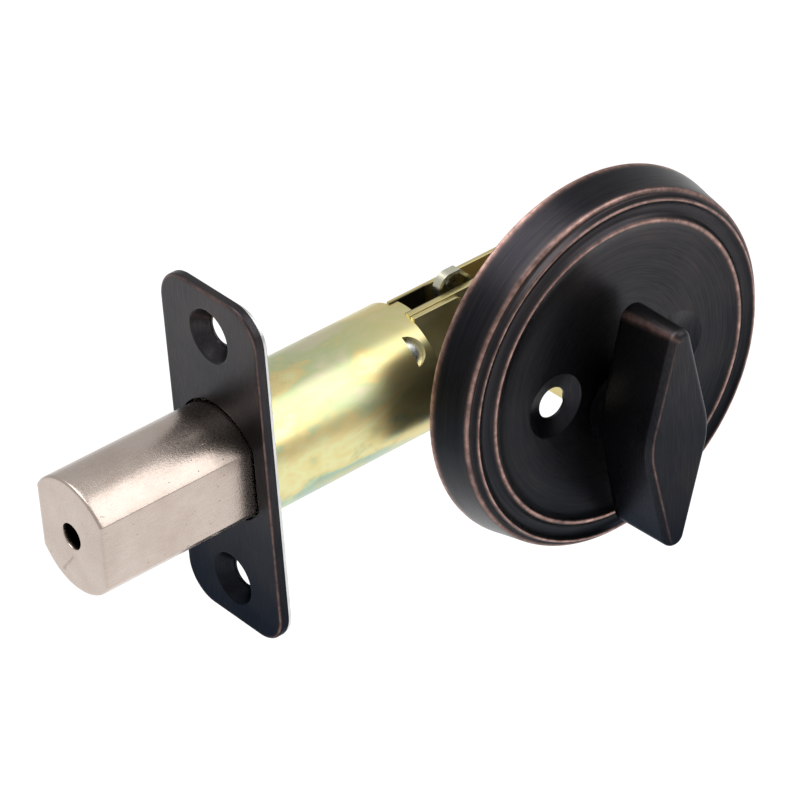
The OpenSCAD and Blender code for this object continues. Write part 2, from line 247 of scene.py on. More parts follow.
def plate(name, outlines, place):
    """A solid between two flat caps, with a value on its vertices for copper wear and for painted shade in the
    bolt's hole.

    Each outline is (points, steps, blind), with the material on its left, and a step is (inset, depth, mark),
    the mark giving copper wear and, in the bolt's hole, painted shade.
    Points may be a function of the inset. A blind outline is a pocket with a floor."""
    bm = bmesh.new()
    wear_and_shade = bm.verts.layers.float.new("wear_and_shade")
    front, back = [], []
    for points, steps, blind in outlines:
        shape = inset_shape(points) if isinstance(points, list) else points
        rings = []
        for inset, depth, worn in steps:
            ring = []
            for across, up in shape(inset):
                vertex = bm.verts.new(place(across, up, depth))
                vertex[wear_and_shade] = worn
                ring.append(vertex)
            rings.append(ring)
        for ring, following in zip(rings, rings[1:]):
            for i in range(len(ring)):
                j = (i + 1) % len(ring)
                bm.faces.new((ring[i], ring[j], following[j], following[i]))
        front.append(rings[0])
        if blind:
            bm.faces.new(rings[-1])
        else:
            back.append(rings[-1])
    for cap in (front, back):
        pairs = [(ring[i], ring[(i + 1) % len(ring)]) for ring in cap for i in range(len(ring))]
        edges = [bm.edges.get(pair) for pair in pairs]
        bmesh.ops.triangle_fill(bm, use_beauty=True, use_dissolve=False, edges=edges)
    return make_object(name, bm)


def lathe(name, profile, place, segments):
    """A closed profile of (radius, depth) turned about the axis that place() sets."""
    bm = bmesh.new()
    rings = []
    for radius, depth in profile:
        if radius < 1e-4:
            rings.append([bm.verts.new(place(0, 0, depth))])
            continue
        ring = []
        for k in range(segments):
            angle = 2 * math.pi * k / segments
            ring.append(bm.verts.new(place(radius * math.cos(angle), radius * math.sin(angle), depth)))
        rings.append(ring)
    for ring, following in zip(rings, rings[1:] + rings[:1]):
        if len(ring) == 1 and len(following) == 1:
            continue
        for i in range(segments):
            j = (i + 1) % segments
            corners = []
            for circle, k in ((ring, i), (ring, j), (following, j), (following, i)):
                vertex = circle[k] if len(circle) > 1 else circle[0]
                if vertex not in corners:
                    corners.append(vertex)
            bm.faces.new(corners)
    return make_object(name, bm)


def cut(obj, cutters):
    """Subtracts each cutter exactly and removes it."""
    for cutter in cutters:
        modifier = obj.modifiers.new("cut", "BOOLEAN")
        modifier.operation = "DIFFERENCE"
        modifier.solver = "EXACT"
        modifier.object = cutter
    graph = bpy.context.evaluated_depsgraph_get()
    mesh = bpy.data.meshes.new_from_object(obj.evaluated_get(graph))
    obj.modifiers.clear()
    obj.data = mesh
    for cutter in cutters:
        bpy.data.objects.remove(cutter)
    shade_smooth(obj)


def join(parts):
    bpy.ops.object.select_all(action="DESELECT")
    for part in parts:
        part.select_set(True)
    bpy.context.view_layer.objects.active = parts[0]
    bpy.ops.object.join()
    return parts[0]


def set_wear(obj, value):
    """Writes the copper wear value of every vertex from its place in millimetres."""
    mesh = obj.data
    if "wear_and_shade" in mesh.attributes:
        mesh.attributes.remove(mesh.attributes["wear_and_shade"])
    layer = mesh.attributes.new("wear_and_shade", "FLOAT", "POINT")
    layer.data.foreach_set("value", [value(vertex.co / MM) for vertex in mesh.vertices])


def replace(obj, body, slot, *nodes):
    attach(obj, body)
    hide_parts(*nodes)
    return obj


def paint(obj, material):
    obj.data.materials.clear()
    obj.data.materials.append(material)


# ---------------------------------------------------------------- finishes
class Finish:
    """A Principled material whose detail is driven by noises in object millimetres."""

    def __init__(self, name, **values):
        self.material = bpy.data.materials.new(name)
        self.material.use_nodes = True
        self.tree = self.material.node_tree
        self.shader = self.tree.nodes["Principled BSDF"]
        for key, value in values.items():
            self.shader.inputs[key.replace("_", " ")].default_value = value
        coords = self.tree.nodes.new("ShaderNodeTexCoord")
        self.place = self.vector("SCALE", coords.outputs["Object"], scale=1 / MM)
        self.x, self.y, self.z = self.split(self.place)

    def feed(self, socket, value):
        if isinstance(value, bpy.types.NodeSocket):
            self.tree.links.new(value, socket)
        else:
            socket.default_value = value

    def split(self, vector):
        node = self.tree.nodes.new("ShaderNodeSeparateXYZ")
        self.feed(node.inputs[0], vector)
        return node.outputs

    def join(self, x, y, z):
        node = self.tree.nodes.new("ShaderNodeCombineXYZ")
        for socket, value in zip(node.inputs, (x, y, z)):
            self.feed(socket, value)
        return node.outputs[0]

    def stretched(self, x, y, z):
        """The place scaled on each axis: noise read there is drawn out along the axes scaled down."""
        return self.join(self.times(self.x, x), self.times(self.y, y), self.times(self.z, z))

    def math(self, operation, *values, clamp=False):
        node = self.tree.nodes.new("ShaderNodeMath")
        node.operation = operation
        node.use_clamp = clamp
        for socket, value in zip(node.inputs, values):
            self.feed(socket, value)
        return node.outputs[0]

    def times(self, a, b):
        return self.math("MULTIPLY", a, b)

    def times_add(self, a, b, c):
        """a * b + c"""
        return self.math("MULTIPLY_ADD", a, b, c)

    def centred(self, value, gain, base):
        """base moved up and down by a noise value about 0.5, times gain."""
        return self.times_add(self.math("SUBTRACT", value, 0.5), gain, base)

    def vector(self, operation, a, b=None, scale=None):
        node = self.tree.nodes.new("ShaderNodeVectorMath")
        node.operation = operation
        self.feed(node.inputs[0], a)
        if b is not None:
            self.feed(node.inputs[1], b)
        if scale is not None:
            node.inputs["Scale"].default_value = scale
        return node.outputs["Value" if operation in ("LENGTH", "DOT_PRODUCT") else "Vector"]

    def noise(self, vector, scale, detail, rough, distortion=0.0):
        node = self.tree.nodes.new("ShaderNodeTexNoise")
        self.feed(node.inputs["Vector"], vector)
        node.inputs["Scale"].default_value = scale
        node.inputs["Detail"].default_value = detail
        node.inputs["Roughness"].default_value = rough
        node.inputs["Distortion"].default_value = distortion
        return node.outputs["Fac"]

    def remap(self, value, from_min, from_max, to_min=0.0, to_max=1.0):
        node = self.tree.nodes.new("ShaderNodeMapRange")
        limits = {"From Min": from_min, "From Max": from_max, "To Min": to_min, "To Max": to_max}
        for key, item in {"Value": value, **limits}.items():
            self.feed(node.inputs[key], item)
        return node.outputs["Result"]

    def ramp(self, value, *stops):
        node = self.tree.nodes.new("ShaderNodeValToRGB")
        self.feed(node.inputs[0], value)
        elements = node.color_ramp.elements
        while len(elements) < len(stops):
            elements.new(0.5)
        for element, (where, colour) in zip(elements, stops):
            element.position = where
            element.color = (*colour, 1.0)
        return node.outputs["Color"]

    def mix(self, factor, a, b, blend="MIX"):
        node = self.tree.nodes.new("ShaderNodeMix")
        node.data_type = "RGBA"
        node.blend_type = blend
        # A Mix node keeps sockets for every data type: these are the factor's and the colours'.
        for index, value in ((0, factor), (6, a), (7, b)):
            self.feed(node.inputs[index], value)
        return node.outputs[2]

    def attribute(self, name):
        node = self.tree.nodes.new("ShaderNodeAttribute")
        node.attribute_name = name
        return node.outputs["Fac"]

    def height(self, *layers):
        """Chains bumps given as (height socket, distance in millimetres)."""
        normal = None
        for value, distance in layers:
            node = self.tree.nodes.new("ShaderNodeBump")
            node.inputs["Strength"].default_value = 1.0
            node.inputs["Distance"].default_value = distance * MM
            self.feed(node.inputs["Height"], value)
            if normal is not None:
                self.feed(node.inputs["Normal"], normal)
            normal = node.outputs[0]
        self.feed(self.shader.inputs["Normal"], normal)

    def set(self, name, value):
        self.feed(self.shader.inputs[name], value)


def rgb(red, green, blue):
    return (red, green, blue, 1.0)


def brushed_round(look):
    """Coordinates stretched round the Y axis."""
    flat = look.join(look.x, 0.0, look.z)
    x, _, z = look.split(look.vector("NORMALIZE", flat))
    out_and_along = look.math("ADD", look.times(look.vector("LENGTH", flat), 5.0), look.times(look.y, 5.0))
    return look.join(look.times(x, 2.5), look.times(z, 2.5), out_and_along)


def bronze(name, turned):
    """Dark oiled bronze, brushed round the Y axis or up Z, with copper showing where the edges are rubbed;
    painted shade darkens it towards the bottom and on the rosette's flank, and painted light brightens it
    towards the top.
    """
    look = Finish(name, Metallic=1.0, Specular_IOR_Level=0.5)
    fine = brushed_round(look) if turned else look.stretched(5.0, 5.0, 0.25)
    streaks = look.noise(fine, 1.0, 4.0, 0.6)
    hair = look.noise(fine, 3.2, 2.0, 0.6)
    cloud = look.noise(look.place, 0.11, 3.0, 0.55)
    mottle = look.noise(look.place, 0.9, 4.0, 0.6)
    patches = look.noise(look.place, 0.35, 4.0, 0.65)

    tone = look.ramp(
        look.times_add(streaks, 0.6, look.times(cloud, 0.4)),
        (0.30, (0.018, 0.018, 0.021)), (0.48, (0.030, 0.029, 0.032)),
        (0.60, (0.041, 0.036, 0.036)), (0.75, (0.068, 0.049, 0.043)),
    )
    # Painted light and shade by height: darker and bluer towards the bottom, lighter towards the top.
    rise = look.remap(look.z, -26.0, 26.0)
    painted_light_by_height = look.ramp(rise, (0.0, (0.36, 0.43, 0.52)), (0.55, (0.80, 0.85, 0.90)), (1.0, (1.25, 1.20, 1.20)))
    tone = look.mix(1.0, tone, painted_light_by_height, "MULTIPLY")
    if turned:
        # Painted shade: the rosette's flank, behind its front, is darkened and tinted blue.
        rim = look.remap(look.y, -6.4, -5.0, 0.0, 0.75)
        tone = look.mix(rim, tone, look.mix(1.0, tone, rgb(0.42, 0.48, 0.56), "MULTIPLY"))
    else:
        # Painted shade on the reflections: they are tinted darker and bluer towards the bottom.
        look.set("Specular Tint", look.ramp(rise, (0.0, (0.50, 0.52, 0.56)), (0.9, (1.0, 1.0, 1.0))))

    patchy = look.times_add(patches, 1.5, look.times_add(hair, 0.8, -1.0))
    patchy = look.math("ADD", patchy, 0.45, clamp=True)
    edge = look.math("MULTIPLY", look.attribute("wear_and_shade"), patchy, clamp=True)
    copper = look.ramp(mottle, (0.3, (0.34, 0.185, 0.145)), (0.7, (0.72, 0.46, 0.40)))
    look.set("Base Color", look.mix(edge, tone, copper))
    look.set("Roughness", look.remap(hair, 0.3, 0.7, 0.27, 0.42))
    look.height((streaks, 0.010), (hair, 0.006))
    return look.material


def scuff_mark(look, ripple):
    """A short slanting scratch below the hole in the bolt's face."""
    from_middle = look.vector("SUBTRACT", look.place, look.join(0.0, DOOR_HALF + 1.5, -5.3))
    across = look.vector("DOT_PRODUCT", look.join(0.0, 0.787, 0.617), from_middle)
    along = look.vector("DOT_PRODUCT", look.join(0.0, -0.617, 0.787), from_middle)
    across = look.centred(ripple, 0.9, across)
    narrow = look.remap(look.math("ABSOLUTE", across), 0.08, 0.3, 1.0, 0.0)
    short = look.remap(look.math("ABSOLUTE", along), 1.9, 2.8, 1.0, 0.0)
    on_face = look.remap(look.x, BOLT_X + 0.4, BOLT_X + 0.5, 1.0, 0.0)
    return look.times(look.times(narrow, short), on_face)


def satin_nickel():
    """Satin nickel over a slightly uneven bar, with pits and nicks, a painted dark reflection of the faceplate
    on its upper side near it, and painted shade inside the face's hole.
    """
    look = Finish("satin_nickel", Metallic=1.0)
    grain = look.noise(look.stretched(0.35, 6.0, 6.0), 1.0, 4.0, 0.6)
    cloud = look.noise(look.place, 0.16, 4.0, 0.6)
    fleck = look.noise(look.place, 3.4, 2.0, 0.6)
    peel = look.noise(look.place, 1.3, 2.0, 0.5)
    reflection_edge_noise = look.noise(look.place, 0.45, 5.0, 0.7)
    slanted = look.join(
        look.times(look.x, 0.5), look.math("ADD", look.times(look.y, 2.2), look.x), look.times(look.z, 2.2),
    )
    nicks = look.remap(look.noise(slanted, 0.8, 2.0, 0.6), 0.72, 0.75, 0.0, 1.0)
    pits = look.remap(fleck, 0.66, 0.74, 0.0, 1.0)
    scuff = scuff_mark(look, peel)

    tone = look.ramp(
        look.times_add(grain, 0.4, look.times(cloud, 0.6)),
        (0.32, (0.48, 0.395, 0.345)), (0.52, (0.545, 0.46, 0.405)), (0.7, (0.60, 0.52, 0.47)),
    )
    marks = look.math("MAXIMUM", look.times(pits, 0.3), look.times(nicks, 0.6))
    marks = look.math("MAXIMUM", marks, look.times(scuff, 0.7))
    # Painted dark reflection of the faceplate, on the bar's upper side within a few millimetres of it, with a
    # ragged edge.
    near_mouth = look.times_add(reflection_edge_noise, 3.0, look.math("ADD", look.x, 5.0 - FACE_X))
    near_mouth = look.remap(near_mouth, 0.0, 2.5, 0.0, 0.55)
    painted_faceplate_reflection = look.times(near_mouth, look.remap(look.z, 3.0, 6.5))
    # Painted shade inside the hole and the painted reflection both darken the tone.
    dark = look.math("MAXIMUM", look.attribute("wear_and_shade"), painted_faceplate_reflection)
    tone = look.mix(marks, tone, rgb(0.33, 0.26, 0.22))
    look.set("Base Color", look.mix(dark, tone, rgb(0.03, 0.02, 0.015)))
    look.set("Roughness", look.remap(fleck, 0.3, 0.7, 0.24, 0.32))
    look.height((grain, 0.0006), (fleck, 0.018), (peel, 0.007), (look.math("MAXIMUM", nicks, scuff), -0.03))
    return look.material


def yellow_zinc(name, plain, gap_shade=0.0):
    """Chromated zinc whose interference colours drift round it, with a painted golden reflection towards the
    barrel's rear end.
    plain takes them back to one tone, and the last argument sets how dark a painted shade is in the gap between
    the plates, before the tail's head."""
    look = Finish(name, Metallic=0.93)
    drawn = look.stretched(0.5, 1.0, 1.0)
    cloud = look.noise(drawn, 0.17, 3.0, 0.55, 0.4)
    small = look.noise(drawn, 0.6, 4.0, 0.6)
    grain = look.noise(look.stretched(0.6, 4.0, 4.0), 1.0, 3.0, 0.6)

    drift = look.centred(cloud, 1.1, look.remap(look.z, -10.0, 10.0, 0.14, 0.86))
    drift = look.centred(small, 0.16, drift)
    tone = look.ramp(
        drift,
        (0.08, (0.45, 0.47, 0.22)), (0.20, (0.30, 0.45, 0.36)), (0.32, (0.42, 0.54, 0.34)),
        (0.44, (0.72, 0.62, 0.28)), (0.56, (0.74, 0.72, 0.38)), (0.68, (0.74, 0.60, 0.28)),
        (0.79, (0.52, 0.58, 0.32)), (0.92, (0.64, 0.60, 0.40)),
    )
    stain = look.remap(look.noise(look.place, 0.22, 4.0, 0.6), 0.60, 0.70, 0.0, 0.3)
    tone = look.mix(stain, tone, rgb(0.30, 0.27, 0.14))
    tone = look.mix(plain, tone, rgb(0.46, 0.39, 0.21))
    # Painted golden reflection, growing towards the barrel's rear end.
    painted_gold_reflection = look.remap(look.x, -36.0, -26.0, 0.0, 0.45)
    tone = look.mix(painted_gold_reflection, tone, rgb(0.82, 0.66, 0.27))
    # Painted shade in the gap between the carriage plates, in front of the tail's head.
    from_middle = look.math("ABSOLUTE", look.math("SUBTRACT", look.y, DOOR_HALF))
    between_plates = look.remap(from_middle, 1.8, 2.1, gap_shade, 0.0)
    before_head = look.remap(look.x, -15.2, -12.8, 1.0, 0.0)
    painted_gap_shade = look.times(between_plates, before_head)
    look.set("Base Color", look.mix(painted_gap_shade, tone, rgb(0.012, 0.011, 0.009)))
    look.set("Roughness", look.remap(cloud, 0.3, 0.7, 0.27, 0.34))
    look.height((grain, 0.0002), (small, 0.003 if gap_shade else 0.008))
    return look.material


def plain_metal(name, dark, light, rough):
    look = Finish(name, Metallic=1.0)
    cloud = look.noise(look.place, 0.5, 4.0, 0.6)
    grain = look.noise(look.place, 5.0, 3.0, 0.6)
    look.set("Base Color", look.ramp(cloud, (0.3, dark), (0.7, light)))
    look.set("Roughness", look.remap(grain, 0.3, 0.7, rough - 0.06, rough + 0.08))
    look.height((grain, 0.004))
    return look.material


def natural_nylon():
    look = Finish("natural_nylon", Subsurface_Weight=0.1)
    cloud = look.noise(look.place, 0.8, 3.0, 0.5)
    grain = look.noise(look.place, 6.0, 2.0, 0.5)
    look.set("Base Color", look.ramp(cloud, (0.3, (0.74, 0.71, 0.62)), (0.7, (0.84, 0.82, 0.74))))
    look.set("Roughness", look.remap(grain, 0.3, 0.7, 0.38, 0.5))
    look.height((grain, 0.004))
    return look.material


bronze_turned = bronze("bronze_turned", turned=True)
bronze_brushed = bronze("bronze_brushed", turned=False)
nickel = satin_nickel()
zinc_barrel = yellow_zinc("zinc_barrel", 0.0)
zinc_plates = yellow_zinc("zinc_plates", 0.45)
zinc_carriage = yellow_zinc("zinc_carriage", 0.5, 0.9)
clear_zinc = plain_metal("clear_zinc", (0.58, 0.59, 0.58), (0.74, 0.75, 0.74), 0.28)
tail_zinc = plain_metal("tail_zinc", (0.56, 0.55, 0.42), (0.70, 0.69, 0.56), 0.3)
ground_steel = plain_metal("ground_steel", (0.32, 0.31, 0.30), (0.5, 0.49, 0.47), 0.3)
spring_steel = plain_metal("spring_steel", (0.2, 0.2, 0.21), (0.34, 0.34, 0.36), 0.3)
nylon = natural_nylon()

CAD_FINISH = {
    "bolt_roller": ground_steel, "bolt_tail": tail_zinc, "tail_rivet": ground_steel,
    "barrel_collar": clear_zinc, "spacer_rivets": ground_steel, "detent_spring": spring_steel,
    "crank": zinc_plates, "drive_pin": clear_zinc, "tailpiece": zinc_plates, "tailpiece_pin": ground_steel,
    "turn_bushing": nylon, "wave_washer": spring_steel, "retaining_clip": spring_steel,
}


# ---------------------------------------------------------------- latch pieces
def dimple_profile():
    """Section of a screw dimple: over the plate's front, down the bowl to the hole, and up again behind."""
    rim, hole_r, back_r = 4.3, 2.3, 3.05
    overlap = 0.2
    bottom = DIMPLE_END - FACE_X
    bowl_r, bowl_start, bowl_depth = rim - 0.12, 0.13, 1.9
    profile = [(rim + overlap, 0.0), (rim + 0.08, 0.0), (rim - 0.02, 0.03), (bowl_r, bowl_start)]
    for k in range(1, 11):
        t = k / 10
        fall = 0.65 * t + 0.35 * math.sin(math.pi / 2 * t)
        profile.append((bowl_r - (bowl_r - hole_r - 0.1) * t, bowl_start + bowl_depth * fall))
    profile += [(hole_r + 0.02, bottom - 0.4), (hole_r, bottom - 0.3), (hole_r, bottom - 0.05)]
    profile += [(hole_r + 0.05, bottom), (back_r - 0.1, bottom), (back_r - 0.02, bottom - 0.1)]
    profile += [(back_r, bottom - 0.2), (back_r, FACE_T), (rim + overlap, FACE_T)]
    return profile


def make_faceplate():
    mouth = flatted_round(BOLT_R, BOLT_HALF_FLATS, 0.5, grow=0.3)[::-1]
    outer_edge = rounded(0.45, FACE_T, wear_and_shade=0.4, fade=0.25, segments=6, back=0.1)
    mouth_edge = rounded(0.15, FACE_T, fade=0.2, segments=3, back=0.05)
    outlines = [
        (rounded_rect(FACE_W, FACE_H, 5.5), outer_edge, False),
        (mouth, mouth_edge, False),
    ]
    for side in SIDES:
        outlines.append((hole_at(side * FACE_SCREW_Z), [(4.5, 0.0, 0.0), (4.22, FACE_T, 0.0)], False))
    parts = [plate("faceplate_skin", outlines, facing_x(FACE_X))]
    for side in SIDES:
        parts.append(lathe("dimple", dimple_profile(), facing_x(FACE_X, side * FACE_SCREW_Z), 96))
    obj = join(parts)
    paint(replace(obj, "door_side", "oiled_bronze", "faceplate"), bronze_brushed)


def make_backing_plate():
    hole_edge = rounded(0.05, BACKING_T, segments=1)
    outlines = [
        (rounded_rect(FACE_W, BACKING_H, 5.0), rounded(0.1, BACKING_T, segments=2), False),
        (round_hole(0, 0, BARREL_R + 0.03, 96), hole_edge, False),
    ]
    for side in SIDES:
        outlines.append((round_hole(0, side * FACE_SCREW_Z, 3.1), hole_edge, False))
    obj = plate("backing_skin", outlines, facing_x(BACKING_X))
    paint(replace(obj, "door_side", "clear_zinc", "backing_plate"), clear_zinc)


def bolt_section(inset):
    """The bar's outline drawn in by inset, and by twice that at the flat away from the user."""
    outline = flatted_round(BOLT_R, BOLT_HALF_FLATS, max(0.5 - inset, 0.05), -inset)
    return [(across - inset * min(1.0, max(0.0, (across - 2.0) / 5.0)), up) for across, up in outline]


def make_bolt():
    """Bar with a slot for its tail, and a blind hole in its face that is painted dark inside as shade."""
    hole_edge = [(0.5, 0.0, 0.0), (0.2, 0.0, 0.0), (0.06, 0.05, 0.0)]
    # The wall's third values paint shade down the hole.
    hole_wall = [(0.0, 0.2, 0.3), (0.0, 0.8, 1.0), (0.0, 7.9, 1.0)]
    outlines = [
        (bolt_section, rounded(0.45, BOLT_END - BOLT_X, fade=0.6, segments=6, back=0.2), False),
        (round_hole(0, 0, ROLLER_HOLE_R, 48), hole_edge + hole_wall, True),
    ]
    obj = plate("bolt_skin", outlines, facing_x(BOLT_X))
    slot = box_outline(BOLT_END - 5.0, 2.55, BOLT_END + 1.0, 5.25)
    cut(obj, [plate("slot_cutter", [(slot, straight(-1.15, 1.15), False)], facing_y(DOOR_HALF))])
    paint(replace(obj, "bolt", "satin_nickel", "bolt"), nickel)


def tube_profile():
    """Section of the barrel's wall, divided along its length."""
    edge, bore_edge, count = 0.15, 0.1, 60
    length = LIP_END - BARREL_X
    profile = [(BARREL_R - edge, BARREL_X)]
    profile += [(BARREL_R, BARREL_X + edge + (length - 2 * edge) * k / count) for k in range(count + 1)]
    profile += [(BARREL_R - edge, LIP_END), (BARREL_BORE + bore_edge, LIP_END)]
    profile += [(BARREL_BORE, LIP_END - bore_edge)]
    profile += [(BARREL_BORE, LIP_END - length * 4 * k / count) for k in range(1, count // 4)]
    return profile + [(BARREL_BORE, BARREL_X + bore_edge), (BARREL_BORE + bore_edge, BARREL_X)]


def half_moon(flat_x):
    """A round window with its front part closed by a straight side at flat_x."""
    radius, reach = 2.52, 83.0
    curve = [point for point in arc(flat_x - 0.3, 0, radius, -reach, reach, 24) if point[0] > flat_x]
    half = radius * math.sin(math.radians(reach))
    return [(flat_x, -half)] + curve + [(flat_x, half)]


def make_barrel():
    """Tube cut back to a narrow lip at its rear end, with a half-moon window above on the user's side."""
    far, lip_half, window_angle = 15.0, 1.7, 42.5
    around_lip = box_outline(-far, -far, far, far)[:3]
    around_lip += [(lip_half, far), (lip_half, 0), (-lip_half, 0), (-lip_half, far), (-far, far)]
    turn = Matrix.Rotation(math.radians(window_angle), 4, "X")

    def outward(across, up, depth):
        point = turn @ Vector((across, up, depth))
        return (point.x, DOOR_HALF + point.y, point.z)

    obj = lathe("barrel_skin", tube_profile(), facing_x(), 160)
    cut(obj, [
        plate("lip_cutter", [(around_lip, straight(BARREL_END, BARREL_END + 4.0), False)], facing_x()),
        plate("window_cutter", [(half_moon(BARREL_END - 3.35), straight(5.0, 14.0), False)], outward),
    ])
    paint(replace(obj, "door_side", "yellow_zinc", "barrel"), zinc_barrel)


def tang_and_bottom():
    """The start of each carriage plate's outline: its front tang, then down to its bottom edge."""
    return [(CARRIAGE_X, TANG_Z), (CARRIAGE_X, -TANG_Z), (BARREL_END, -TANG_Z), (BARREL_END, -CARRIAGE_TOP)]


def make_long_plate(node):
    """Carriage plate with round rear corners and a lobe round the crank's journal."""
    y0, y1 = extent(node, Y)
    corner, lobe_angle = 3.0, 43.0
    corner_x, corner_z = CARRIAGE_END - corner, CARRIAGE_TOP - corner
    outline = tang_and_bottom()
    outline += arc(0, -TURN_DROP, 6.3, 180 + lobe_angle, 360 - lobe_angle, 24)
    outline += arc(corner_x, -corner_z, corner, -90, 0, 8) + arc(corner_x, corner_z, corner, 0, 90, 8)
    outline += [(BARREL_END, CARRIAGE_TOP), (BARREL_END, TANG_Z)]
    edge = rounded(0.12, y1 - y0, segments=3)
    outlines = [(outline, edge, False), (round_hole(0, -TURN_DROP, JOURNAL_R), edge, False)]
    for side in SIDES:
        outlines.append((round_hole(side * SCREW_X, SCREW_Z, SCREW_ROOM_R), edge, False))
    obj = plate(node + "_skin", outlines, facing_y(y0))
    paint(replace(obj, "door_side", "yellow_zinc", node), zinc_carriage)


def make_slide_plate():
    """Short outer plate, notched round the screw hole behind it."""
    y0, y1 = extent("slide_plate", Y)
    corner = 1.2
    reach = math.degrees(math.acos((-SCREW_X - SLIDE_END) / SCREW_ROOM_R))
    outline = tang_and_bottom() + [(SLIDE_END, -CARRIAGE_TOP)]
    outline += arc(-SCREW_X, SCREW_Z, SCREW_ROOM_R, 180 + reach, 180 - reach, 20)
    outline += arc(SLIDE_END - corner, SLIDE_TOP - corner, corner, 0, 90, 8)
    outline += [(BARREL_END, SLIDE_TOP), (BARREL_END, TANG_Z)]
    obj = plate("slide_plate_skin", [(outline, rounded(0.12, y1 - y0, segments=3), False)], facing_y(y0))
    paint(replace(obj, "door_side", "yellow_zinc", "slide_plate"), zinc_carriage)


# ---------------------------------------------------------------- inside trim
def rosette_profile():
    """Section of the rosette's shell: the front from the middle out to the back rim, then the inside."""
    dish = [(0.0, -6.85), (4.9, -6.85), (9.0, -6.87), (12.5, -6.92), (14.6, -7.0), (17.5, -7.08)]
    dish += [(20.5, -7.2), (22.4, -7.42)]
    inner_bead = [(23.3, -7.7), (23.75, -7.93), (24.05, -7.97), (24.35, -7.88), (24.6, -7.6)]
    hollow = [(24.95, -7.25), (25.5, -7.05), (26.0, -7.1), (26.5, -7.35)]
    outer_bead = [(26.85, -7.7), (27.05, -7.83), (27.25, -7.8), (27.4, -7.6), (27.48, -7.2)]
    step = [(27.6, -6.85), (27.85, -6.74), (28.15, -6.72), (28.45, -6.55), (28.62, -6.2)]
    flank = [(28.75, -5.6), (29.2, -3.2), (29.6, -1.2)]
    rim = [(29.75, -0.4), (29.8, -0.2), (29.7, -0.03), (29.5, 0.0)]
    inside = [(28.6, 0.0), (28.5, -0.1), (28.4, -1.0), (26.95, -6.05), (26.2, -5.65), (20.0, -5.65)]
    inside += [(0.0, -5.65)]
    return smooth_profile(dish + inner_bead + hollow + outer_bead + step + flank + rim, 5) + inside


def rosette_wear(point):
    """Copper on the two beads, on the step beside them, mostly at its upper left, and on the back rim."""
    radius = math.hypot(point.x, point.z)
    front_side = 1.0 if point.y < -0.5 else 0.0
    past_upper_left = math.degrees(math.atan2(point.z, point.x)) - 120
    side = bump((past_upper_left + 180) % 360 - 180, 0.0, 75.0)
    step = (0.5 + 0.5 * side) * bump(radius, 28.35, 0.27 + 0.13 * side)
    step = step * front_side * bump(point.y, -6.6, 0.3)
    outer_bead = bump(radius, 27.15, 0.17) * bump(point.y, -7.8, 0.25)
    inner_bead = bump(radius, 24.02, 0.28) * bump(point.y, -7.95, 0.25)
    rim = 1.3 * bump(point.y, -0.1, 0.55) * (1.0 if radius > 29.3 else 0.0)
    return max(step, outer_bead, inner_bead, rim)


def make_rosette():
    front, behind, hole_r = -12, 3, 2.45
    sink = [(0, front), (5.3, front), (5.3, -7.02), (5.0, -6.92), (4.85, -6.82)]
    sink += [(2.6, -6.06), (2.47, -5.98), (hole_r, -5.9), (hole_r, behind), (0, behind)]
    centre = [(0, front), (BUSHING_R, front), (BUSHING_R, behind), (0, behind)]
    obj = lathe("rosette_skin", rosette_profile(), facing_y(), 256)
    cutters = [lathe("centre_cutter", centre, on_turn_axis, 96)]
    for side in SIDES:
        cutters.append(lathe("sink_cutter", sink, facing_y(0.0, side * SCREW_X, SCREW_Z), 96))
    cut(obj, cutters)
    set_wear(obj, rosette_wear)
    paint(replace(obj, "door_side", "oiled_bronze", "rosette"), bronze_turned)


def grip_points(size):
    """Counter-clockwise outline of the grip, upright: small round tips and a soft middle. size is (inset, t),
    where t runs from the sharper front face (0) to the fuller back (1)."""
    inset, t = size
    half_w, half_h, tip_r, side_r = 6.0, 18.4 + 0.1 * t, 1.9 + 0.7 * t, 12.0
    tip_z = half_h - tip_r
    side_x = side_r - half_w
    reach = math.hypot(side_x, tip_z)
    flank = math.degrees(math.atan2(tip_z, side_x) - math.acos((side_r - tip_r) / reach))
    points = arc(-side_x, 0, side_r, -flank, flank, 12)
    points += arc(0, tip_z, tip_r, flank, 180 - flank, 14)
    points += arc(side_x, 0, side_r, 180 - flank, 180 + flank, 12)
    points += arc(0, -tip_z, tip_r, 180 + flank, 360 - flank, 14)
    return inset_shape(points)(inset)


def grip_steps():
    """The grip's wall as ((inset, t), depth, wear): round front edge, flank, softened back edge."""
    front, back = 1.1, 0.6
    steps = []
    for k in range(13):
        angle = math.pi / 2 * k / 12
        depth = front * (1 - math.cos(angle))
        steps.append(((front * (1 - math.sin(angle)), depth / GRIP_DEPTH), depth, bump(k, 2.2, 0.9)))
    for k in range(1, 8):
        steps.append(((0.0, k / 8), GRIP_DEPTH * k / 8, 0.0))
    for k in range(6):
        angle = math.pi / 2 * k / 5
        steps.append(((back * (1 - math.cos(angle)), 1.0), GRIP_DEPTH - back * (1 - math.sin(angle)), 0.0))
    return steps


def wear_grip(grip, cos_lean, sin_lean):
    """Keeps the front edge's wear on the left side only, and adds copper on the upper left shoulder."""
    for vertex, item in zip(grip.data.vertices, grip.data.attributes["wear_and_shade"].data):
        x, y, z = vertex.co / MM
        z += TURN_DROP
        across, up = x * cos_lean - z * sin_lean, x * sin_lean + z * cos_lean
        left = min(1.0, max(0.0, -across / 1.5 - 0.4))
        line = 0.48 * item.value * left * (0.5 + 0.5 * bump(up, -5.0, 9.0))
        shoulder = 0.0
        if up > 12.0:
            t = (y - GRIP_Y) / GRIP_DEPTH
            angle = math.degrees(math.atan2(up - 16.5 + 0.6 * t, across))
            shoulder = bump(angle, 143.0, 11.0) * (0.3 + 0.9 * t)
        item.value = max(line, shoulder)


